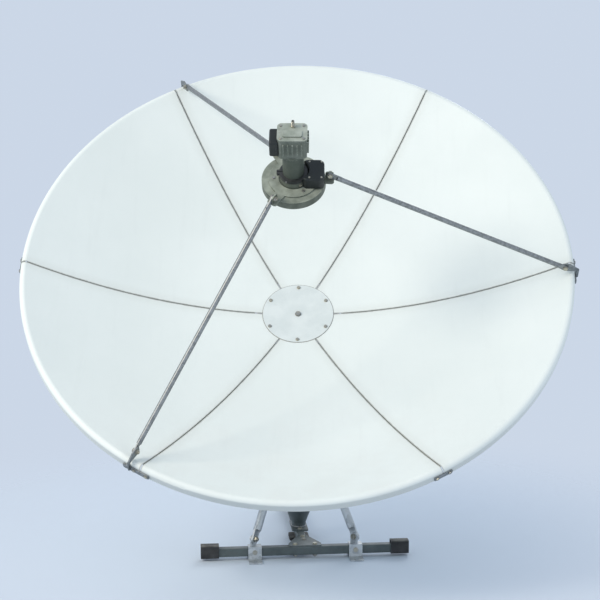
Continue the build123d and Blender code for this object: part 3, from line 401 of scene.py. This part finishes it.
def zinc(name, dark, light, spangle=70.0, metallic=0.75, rough=(0.38, 0.62)):
    """Zinc: crystals of slightly different greys, dull blooms, dust on top and rust freckles."""
    g = Graph(name)
    crystal = g.nodes.new("ShaderNodeSeparateColor")
    g.put(crystal.inputs[0], g.cells(spangle, colour=True))
    shade = g.maths("ADD", g.times(crystal.outputs[0], 0.6), g.times(g.noise(30.0), 0.4))
    colour = g.mix(g.ramp(shade, 0.1, 0.9), dark, light)
    bloom = g.ramp(g.noise(9.0, 7, 0.65), 0.50, 0.75, 0.0, 0.55)
    colour = g.mix(bloom, colour, shade_of(between(dark, light), 1.08))
    colour = g.mix(g.times(g.facing_up(), 0.25), colour, ZINC_DUST)
    colour = g.mix(g.ramp(g.noise(34.0, 8, 0.7), 0.70, 0.84, 0.0, 0.4), colour, ZINC_RUST)
    g.bump(shade, 0.12, 0.0003)
    g.bump(g.noise(160.0, 4), 0.20, 0.0004)
    return g.finish(colour, g.ramp(shade, 0.0, 1.0, *rough), metallic)


def painted_steel(name, dark, light):
    """Dark paint on steel, with chipped edges, road dust on top and a few rust freckles."""
    g = Graph(name)
    colour = g.mix(g.ramp(g.noise(12.0, 6), 0.3, 0.7), dark, light)
    chips = g.times(g.edges(0.0016), g.ramp(g.noise(90.0, 5), 0.45, 0.60, 0.0, 0.8))
    colour = g.mix(chips, colour, STEEL_CHIP)
    dust = g.times(g.facing_up(), g.ramp(g.noise(14.0, 6), 0.30, 0.75, 0.04, 0.26))
    colour = g.mix(dust, colour, STEEL_DUST)
    rust = g.ramp(g.noise(62.0, 8, 0.72), 0.70, 0.80, 0.0, 0.55)
    colour = g.mix(rust, colour, STEEL_RUST)
    g.bump(g.noise(300.0, 3), 0.18, 0.0003)
    g.bump(chips, 0.3, -0.0003)
    rough = g.ramp(g.noise(20.0, 4), 0.3, 0.7, 0.38, 0.58)
    return g.finish(colour, g.maths("MAXIMUM", rough, g.times(dust, 1.2)))


def bolt_zinc():
    """Passivated zinc on the fasteners, yellowish in patches and rusty in spots."""
    g = Graph("bolt_zinc")
    colour = g.mix(g.ramp(g.noise(40.0, 3), 0.35, 0.65), *BOLT_ZINC)
    colour = g.mix(g.ramp(g.noise(120.0, 6, 0.7), 0.62, 0.75, 0.0, 0.7), colour, BOLT_RUST)
    g.bump(g.noise(700.0, 3), 0.15, 0.0002)
    return g.finish(colour, g.ramp(g.noise(150.0, 4), 0.3, 0.7, 0.28, 0.52), 0.85)


def cast_metal(name, dark, light, neck=None):
    """Painted casting: pebbled skin, bright edges, and painted shade underneath and up to the height of
    its neck.
    """
    g = Graph(name)
    colour = g.mix(g.ramp(g.noise(24.0, 6), 0.3, 0.7), dark, light)
    colour = g.mix(g.ramp(g.noise(9.0, 7, 0.7), 0.52, 0.76, 0.0, 0.55), colour, shade_of(dark, 0.55))
    if neck:
        # Painted shade on the throat up to the neck's height, where the housing shades it.
        neck_shade = g.ramp(g.along(BORESIGHT), neck, neck + 0.003, 0.88, 0.0)
        colour = g.mix(neck_shade, colour, NECK_PAINTED_SHADE)
    # Painted shade: faces that turn away from the sky are darkened.
    underside_shade = g.ramp(g.facing_up(-0.55, 0.45), 0.0, 1.0, 0.72, 0.0)
    colour = g.mix(underside_shade, colour, shade_of(dark, 0.32))
    colour = g.mix(g.times(g.edges(), 0.7), colour, shade_of(light, 1.5))
    colour = g.mix(g.times(g.facing_up(), 0.2), colour, CAST_DUST)
    g.bump(g.noise(650.0, 3, 0.6), 0.35, 0.0004)
    g.bump(g.cells(900.0), 0.15, 0.0002)
    return g.finish(colour, g.ramp(g.noise(70.0, 4), 0.3, 0.7, 0.48, 0.66), 0.25)


def rubber(name, dark, light):
    """Rubber or sealant, greyed by dust on top."""
    g = Graph(name)
    colour = g.mix(g.ramp(g.noise(18.0, 6), 0.3, 0.75), dark, light)
    dust = g.times(g.facing_up(), g.ramp(g.noise(25.0, 6), 0.3, 0.7, 0.15, 0.55))
    colour = g.mix(dust, colour, RUBBER_DUST)
    g.bump(g.noise(380.0, 4), 0.35, 0.0005)
    return g.finish(colour, g.ramp(g.noise(45.0, 4), 0.3, 0.7, 0.62, 0.85), 0.0, 0.35)


def plastic(name, dark, light, rough=(0.38, 0.55)):
    """Smooth plastic or paint with a fine texture and a slightly uneven tone."""
    g = Graph(name)
    colour = g.mix(g.ramp(g.noise(30.0, 5), 0.3, 0.7), dark, light)
    g.bump(g.noise(900.0, 2), 0.2, 0.0002)
    return g.finish(colour, g.ramp(g.noise(60.0, 4), 0.3, 0.7, *rough))


def weld_metal():
    """Weld bead: bluish grey with straw-coloured patches of heat tint."""
    g = Graph("weld_metal")
    colour = g.mix(g.ramp(g.noise(120.0, 4), 0.35, 0.65), *WELD_TINT)
    g.bump(g.noise(400.0, 4), 0.5, 0.0005)
    return g.finish(colour, g.ramp(g.noise(200.0, 3), 0.3, 0.7, 0.40, 0.65), 0.7)


def galvanised():
    """Hot-dip zinc on the ribs, drum, elevation frame, yoke, sleeve, mast and legs."""
    return zinc("galvanised", (0.40, 0.43, 0.45), (0.62, 0.65, 0.67))


def bracket_steel():
    """Dull grey zinc on the strut brackets, the rim splices and the servo's motor."""
    return zinc("bracket_steel", (0.16, 0.18, 0.18), (0.30, 0.32, 0.33), 110.0, 0.65)


def strut_steel():
    """Weathered grey zinc on the feed struts."""
    return zinc("strut_steel", (0.19, 0.20, 0.20), (0.32, 0.34, 0.345), 160.0, 0.70, (0.34, 0.52))


def connector_metal():
    """Bright plating on the coaxial socket, slightly yellow."""
    return zinc("connector_metal", (0.42, 0.40, 0.33), (0.62, 0.60, 0.52), 300.0, 0.9, (0.22, 0.36))


def dark_steel():
    """Dark blue-green paint on the bar, the rail, their gusset and the mast's foot."""
    return painted_steel("dark_steel", (0.055, 0.072, 0.073), (0.090, 0.112, 0.112))


def feed_metal():
    """Grey-green casting of the scalar ring and its bracket."""
    return cast_metal("feed_metal", (0.170, 0.198, 0.155), (0.380, 0.420, 0.340))


def receiver_metal():
    """Paler grey-green casting of the receiver, with painted shade on the throat in front of its housing.
    """
    neck = RECEIVER_FRONT - 0.0005
    return cast_metal("receiver_metal", (0.250, 0.290, 0.235), (0.450, 0.490, 0.420), neck)


MATERIALS = {
    "petal_paint": petal_paint(),
    "hub_paint": hub_paint(),
    "galvanised": galvanised(),
    "dark_steel": dark_steel(),
    "bracket_steel": bracket_steel(),
    "strut_steel": strut_steel(),
    "zinc_bolts": bolt_zinc(),
    "feed_metal": feed_metal(),
    "receiver_metal": receiver_metal(),
    "skew_plastic": plastic("skew_plastic", (0.020, 0.022, 0.022), (0.040, 0.042, 0.042)),
    # Near-black plastic of the servo's case: painted shade, standing in for the shadow that the receiver
    # casts on the scalar ring.
    "case_plastic": plastic("case_plastic", (0.005, 0.009, 0.009), (0.013, 0.018, 0.017), (0.42, 0.60)),
    "cap_plastic": plastic("cap_plastic", (0.66, 0.67, 0.62), (0.76, 0.77, 0.73)),
    "board": plastic("board", (0.015, 0.090, 0.045), (0.030, 0.140, 0.070)),
    "connector_metal": connector_metal(),
    "rubber": rubber("rubber", (0.018, 0.019, 0.021), (0.050, 0.050, 0.050)),
    "weld": weld_metal(),
    "tick_ink": plastic("tick_ink", (0.03, 0.03, 0.03), (0.06, 0.06, 0.06)),
    "tick_white": plastic("tick_white", (0.60, 0.60, 0.58), (0.72, 0.72, 0.70)),
    "sealant": rubber("sealant", (0.30, 0.30, 0.27), (0.42, 0.42, 0.38)),
}


def dress_cad_nodes():
    """Give every CAD node the material of its slot in the record."""
    slots = {entry["node"]: entry["material_slot"] for entry in frame["record"]["subparts"]}
    for name, piece in frame["nodes"].items():
        material = MATERIALS[slots[name]]
        if not piece.material_slots:
            piece.data.materials.append(material)
        for slot in piece.material_slots:
            slot.material = material


# ------------------------------------------------------------------ mesh pieces
def new_piece(name, mesh_builder, body, material, smooth=True):
    """Turn a bmesh into a piece that rides on a body."""
    mesh = bpy.data.meshes.new(name)
    mesh_builder.to_mesh(mesh)
    mesh_builder.free()
    piece = bpy.data.objects.new(name, mesh)
    bpy.context.scene.collection.objects.link(piece)
    mesh.materials.append(MATERIALS[material])
    for face in mesh.polygons:
        face.use_smooth = smooth
    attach(piece, body)
    return piece


RIPPLE_TURN = 1.9
RIPPLE_SCATTER = 0.6


def add_tube(builder, points, radius, sides=8, closed=False, ripple=0.0):
    """Tube along points; its radius may ripple, as a weld's does."""
    count = len(points)
    rings = []
    for index, point in enumerate(points):
        ahead = points[(index + 1) % count] if closed or index + 1 < count else point
        behind = points[index - 1] if closed or index > 0 else point
        along = (ahead - behind).normalized()
        if rings:
            side = (side - along * side.dot(along)).normalized()
        else:
            side = along.orthogonal().normalized()
        other = along.cross(side)
        wave = math.sin(index * RIPPLE_TURN) + RIPPLE_SCATTER * (random.random() - 0.5)
        size = radius * (1 + ripple * wave)
        ring = []
        for step in range(sides):
            turn = 2 * math.pi * step / sides
            offset = side * math.cos(turn) + other * math.sin(turn)
            ring.append(builder.verts.new(point + offset * size))
        rings.append(ring)
    pairs = list(zip(rings, rings[1:]))
    if closed:
        pairs.append((rings[-1], rings[0]))
    for first, second in pairs:
        for step in range(sides):
            after = (step + 1) % sides
            builder.faces.new((first[step], first[after], second[after], second[step]))
    if not closed:
        builder.faces.new(rings[0][::-1])
        builder.faces.new(rings[-1])


def line_points(start, end, step):
    """Even points from start to end."""
    count = max(2, int((end - start).length / step))
    return [start.lerp(end, index / count) for index in range(count + 1)]


def circle_points(centre, x_dir, y_dir, radius, count):
    """Even points round a circle."""
    turns = [2 * math.pi * index / count for index in range(count)]
    return [centre + x_dir * radius * math.cos(turn) + y_dir * radius * math.sin(turn) for turn in turns]


def add_block(builder, centre, x_dir, y_dir, z_dir, size, bevel=0.0):
    """Box of a given size along three directions, with rounded edges if it has a bevel."""
    result = bmesh.ops.create_cube(builder, size=1.0)
    turn = Matrix((x_dir * size[0], y_dir * size[1], z_dir * size[2])).transposed().to_4x4()
    bmesh.ops.transform(builder, matrix=Matrix.Translation(centre) @ turn, verts=result["verts"])
    if bevel:
        edges = list({edge for vertex in result["verts"] for edge in vertex.link_edges})
        bmesh.ops.bevel(builder, geom=edges, offset=bevel, segments=2, profile=0.6, affect="EDGES")


def add_disc(builder, centre, axis, radius, height, sides, taper):
    """Short cylinder that stands on a point, its top narrower by the taper."""
    result = bmesh.ops.create_cone(
        builder, cap_ends=True, segments=sides, radius1=radius, radius2=radius * taper, depth=height
    )
    turn = axis.to_track_quat("Z", "Y").to_matrix().to_4x4()
    place = Matrix.Translation(centre + axis * height / 2) @ turn
    bmesh.ops.transform(builder, matrix=place, verts=result["verts"])


TICK_PROUD = 0.0003


def add_tick(builder, centre, outward, along, length, width):
    """Painted line: a thin block that stands just proud of a surface."""
    add_block(builder, centre, along, outward.cross(along), outward, (length, width, 2 * TICK_PROUD))


# ------------------------------------------------------------------ weld beads
BEAD_STEP = 0.0022
BEAD_RIPPLE = 0.16
BEAD_SIDES = 8
BEAD_STANDOFF = 0.0008


def add_bead(builder, start, end, radius):
    """Straight weld bead."""
    add_tube(builder, line_points(start, end, BEAD_STEP), radius, BEAD_SIDES, False, BEAD_RIPPLE)


def add_ring_bead(builder, height, ring_radius, radius, count):
    """Level weld bead round the mast's axis."""
    points = circle_points(UP * height, RIGHT, REARWARD, ring_radius, count)
    add_tube(builder, points, radius, BEAD_SIDES, True, BEAD_RIPPLE)


def rib_welds():
    """Two beads where each rib meets the hub drum."""
    builder = bmesh.new()
    radius = HUB_RADIUS + BEAD_STANDOFF
    beside = RIB_THICKNESS / 2 + 0.0011
    back = -0.0740
    front = -0.0040
    for angle in SEAMS:
        for side in (-1, 1):
            turned = angle + side * math.degrees(beside / radius)
            start = dish_point(radius, turned, back)
            end = dish_point(radius, turned, front)
            add_bead(builder, start, end, 0.0019)
    new_piece("rib_welds", builder, "dish", "weld")


def frame_welds():
    """Beads inside the elevation frame, between its plates and its flanges."""
    builder = bmesh.new()
    inside = FRAME_INSIDE - 0.0007
    reach = 0.099
    flange_back = -0.0860
    for side in (-1, 1):
        start = face_point(side * inside, -reach, flange_back)
        end = face_point(side * inside, reach, flange_back)
        add_bead(builder, start, end, 0.0021)
    new_piece("frame_welds", builder, "dish", "weld")


def yoke_welds():
    """Rings of weld under and over the yoke's base, round the sleeve."""
    builder = bmesh.new()
    underside_shade = PIVOT.z - YOKE_BASE_DROP - 0.0006
    over = PIVOT.z - YOKE_BASE_DROP + 0.0086
    for height in (underside_shade, over):
        add_ring_bead(builder, height, SLEEVE_RADIUS + BEAD_STANDOFF, 0.0021, 130)
    new_piece("yoke_welds", builder, "azimuth_head", "weld")


def mast_welds():
    """A ring of weld round the mast's foot and beads beside the collar's lugs."""
    builder = bmesh.new()
    plug_radius = 0.0255
    plate_top = bottom_of("mast_foot") + 0.0066
    add_ring_bead(builder, plate_top, plug_radius, 0.0018, 80)
    inset = 0.007
    low = bottom_of("mast_collar") + inset
    high = top_of("mast_collar") - inset
    lug_radius = 0.0521
    lug_sides = (0.0024, 0.0083)
    for place in (LEFT_FOOT, RIGHT_FOOT, REAR_FOOT):
        outward = Vector((place.x, place.y, 0)).normalized()
        across = outward.cross(UP)
        for offset in lug_sides:
            spot = outward * lug_radius + across * offset
            add_bead(builder, spot + UP * low, spot + UP * high, 0.0016)
    new_piece("mast_welds", builder, "ground_frame", "weld")


# ------------------------------------------------------------------ scales without lettering
def elevation_scale():
    """Lines every 2.5 degrees beyond the slot of the right frame plate, every fourth one longer."""
    builder = bmesh.new()
    lowest = -75
    spacing = 2.5
    start = LOCK_ARM + 0.010
    for index in range(21):
        turn = math.radians(lowest + spacing * index)
        along = REARWARD * math.cos(turn) + UP * math.sin(turn)
        length = 0.009 if index % 4 == 0 else 0.005
        centre = PIVOT + along * (start + length / 2) + RIGHT * FRAME_OUTSIDE
        add_tick(builder, centre, RIGHT, along, length, 0.0007)
    new_piece("elevation_scale", builder, "dish", "tick_ink", False)


def azimuth_scale():
    """Lines every 10 degrees round the top of the mast's collar, and a pointer on the sleeve."""
    builder = bmesh.new()
    start = top_of("mast_collar") - 0.001
    for index in range(36):
        outward = mast_direction(10 * index)
        length = 0.010 if index % 9 == 0 else 0.006
        centre = outward * MAST_COLLAR_RADIUS + UP * (start - length / 2)
        add_tick(builder, centre, outward, UP, length, 0.0008)
    new_piece("azimuth_scale", builder, "ground_frame", "tick_ink", False)
    pointer = bmesh.new()
    outward = mast_direction(270)
    centre = outward * SLEEVE_RADIUS + UP * (bottom_of("azimuth_sleeve") + 0.009)
    add_tick(pointer, centre, outward, UP, 0.016, 0.0022)
    new_piece("azimuth_pointer", pointer, "azimuth_head", "tick_white", False)


def skew_scale():
    """Lines every 7.5 degrees round the feed's collar, and a pointer on the skew ring."""
    builder = bmesh.new()
    middle = 240
    spacing = 7.5
    start = FEED_COLLAR_TOP - 0.001
    for index in range(13):
        angle = middle + spacing * (index - 6)
        length = 0.006 if index % 6 == 0 else 0.0035
        centre = dish_point(FEED_COLLAR_RADIUS, angle, start - length / 2)
        add_tick(builder, centre, face_direction(angle), BORESIGHT, length, 0.0006)
    new_piece("skew_scale", builder, "dish", "tick_ink", False)
    pointer = bmesh.new()
    centre = dish_point(SKEW_RING_RADIUS, middle, SKEW_HEIGHT - 0.001)
    add_tick(pointer, centre, face_direction(middle), BORESIGHT, 0.006, 0.0014)
    new_piece("skew_pointer", pointer, "skew_ring", "tick_white", False)


# ------------------------------------------------------------------ seals, plates and small hardware
def hub_seal():
    """Bead of sealant round the hub cover."""
    builder = bmesh.new()
    radius = HUB_COVER_RADIUS + 0.0006
    centre = VERTEX + BORESIGHT * (bowl(radius) + 0.0005)
    add_tube(builder, circle_points(centre, RIGHT, FACE_UP, radius, 240), 0.0013, 8, True, 0.05)
    new_piece("hub_seal", builder, "dish", "sealant")


def receiver_gasket():
    """Gasket under the receiver's cover, a rectangle with round corners."""
    corner = 0.012
    proud = 0.0005
    reach_x = RECEIVER_WIDTH / 2 + proud - corner
    reach_y = RECEIVER_HEIGHT / 2 + proud - corner
    path = []
    for quarter, (side_x, side_y) in enumerate(((1, 1), (-1, 1), (-1, -1), (1, -1))):
        for step in range(7):
            turn = math.radians(90 * quarter + 15 * step)
            x = side_x * reach_x + corner * math.cos(turn)
            y = side_y * reach_y + corner * math.sin(turn)
            path.append(face_point(x, y, RECEIVER_BACK))
    builder = bmesh.new()
    add_tube(builder, path, 0.0009, 6, True)
    new_piece("receiver_gasket", builder, "receiver", "rubber")


def socket_thread():
    """Crests of the thread on the receiver's socket."""
    socket = mounts["coax_output"]
    front = -socket["dims"]["length_mm"] / 2000
    plain = 0.0028
    pitch = 0.00112
    thread = bmesh.new()
    for index in range(15):
        centre = Vector(socket["pos_m"]) + BORESIGHT * (front + plain + pitch * index)
        add_tube(thread, circle_points(centre, RIGHT, FACE_UP, 0.00475, 28), 0.00034, 6, True)
    new_piece("socket_thread", thread, "receiver", "connector_metal")


def servo_screws():
    """Four pan heads that hold the servo's case."""
    builder = bmesh.new()
    sunk = 0.0002
    for x in (0.0870, 0.0500):
        for y in (0.0300, -0.0340):
            spot = face_point(x, y, SERVO_TOP - sunk)
            add_disc(builder, spot, BORESIGHT, 0.0034, 0.0022, 20, 0.72)
    new_piece("servo_screws", builder, "dish", "zinc_bolts", False)


def maker_plate():
    """Blank riveted plate on the yoke's right side."""
    builder = bmesh.new()
    centre = Vector((YOKE_OUTSIDE + 0.0003, 0.010, PIVOT.z - 0.134))
    add_block(builder, centre, REARWARD, UP, RIGHT, (0.044, 0.026, 0.0007), 0.0002)
    for y in (-0.0185, 0.0185):
        for z in (-0.0095, 0.0095):
            add_disc(builder, centre + REARWARD * y + UP * z, RIGHT, 0.0014, 0.0009, 14, 0.6)
    new_piece("maker_plate", builder, "azimuth_head", "receiver_metal", False)


# ------------------------------------------------------------------ floor, light, world
FLOOR_SOLID = 0.5
FLOOR_GONE = 1.9
FLOOR_RADIUS = 6.0
FLOOR_DROP = 0.0005
SKY = (0.60, 0.68, 0.80, 1)


def stage_material():
    """Pale floor, solid near the object and faded out further off."""
    g = Graph("stage_floor")
    length = g.nodes.new("ShaderNodeVectorMath")
    length.operation = "LENGTH"
    g.put(length.inputs[0], g.place)
    g.finish(FLOOR, 0.85, 0.0, 0.1)
    g.put(g.shader.inputs["Alpha"], g.ramp(length.outputs["Value"], FLOOR_SOLID, FLOOR_GONE, 1.0, 0.0))
    return g.material


def make_stage():
    """A disc of floor under the object."""
    builder = bmesh.new()
    bmesh.ops.create_circle(builder, cap_ends=True, radius=FLOOR_RADIUS, segments=96)
    mesh = bpy.data.meshes.new("stage_floor")
    builder.to_mesh(mesh)
    builder.free()
    floor = bpy.data.objects.new("stage_floor", mesh)
    floor.location.z = -FLOOR_DROP
    bpy.context.scene.collection.objects.link(floor)
    mesh.materials.append(stage_material())


def area_light(name, place, aim, size, watts, colour):
    """Soft square light that looks at a point."""
    data = bpy.data.lights.new(name, "AREA")
    data.size = size
    data.energy = watts
    data.color = colour
    light = bpy.data.objects.new(name, data)
    bpy.context.scene.collection.objects.link(light)
    light.location = place
    light.rotation_mode = "QUATERNION"
    light.rotation_quaternion = (Vector(aim) - Vector(place)).to_track_quat("-Z", "Y")


def make_lights():
    """Key from the upper left, weak fill from the right, a soft light behind and an even sky."""
    centre = (0, -0.2, 0.8)
    area_light("key", (-4.2, -3.6, 4.0), centre, 2.2, 214, (1.0, 0.92, 0.80))
    area_light("fill", (3.2, -5.0, 0.9), centre, 3.0, 30, (1.0, 0.97, 0.92))
    area_light("behind", (1.5, 4.5, 3.6), centre, 2.5, 90, (0.96, 0.98, 1.0))
    world = bpy.data.worlds.new("world")
    world.use_nodes = True
    background = world.node_tree.nodes["Background"]
    background.inputs["Color"].default_value = SKY
    background.inputs["Strength"].default_value = 1.0
    bpy.context.scene.world = world
    bpy.context.scene.view_settings.view_transform = "Standard"
    bpy.context.scene.view_settings.look = "None"


# ------------------------------------------------------------------ the scene
dress_cad_nodes()
make_camera()
rib_welds()
frame_welds()
yoke_welds()
mast_welds()
elevation_scale()
azimuth_scale()
skew_scale()
hub_seal()
receiver_gasket()
socket_thread()
servo_screws()
maker_plate()
make_stage()
make_lights()
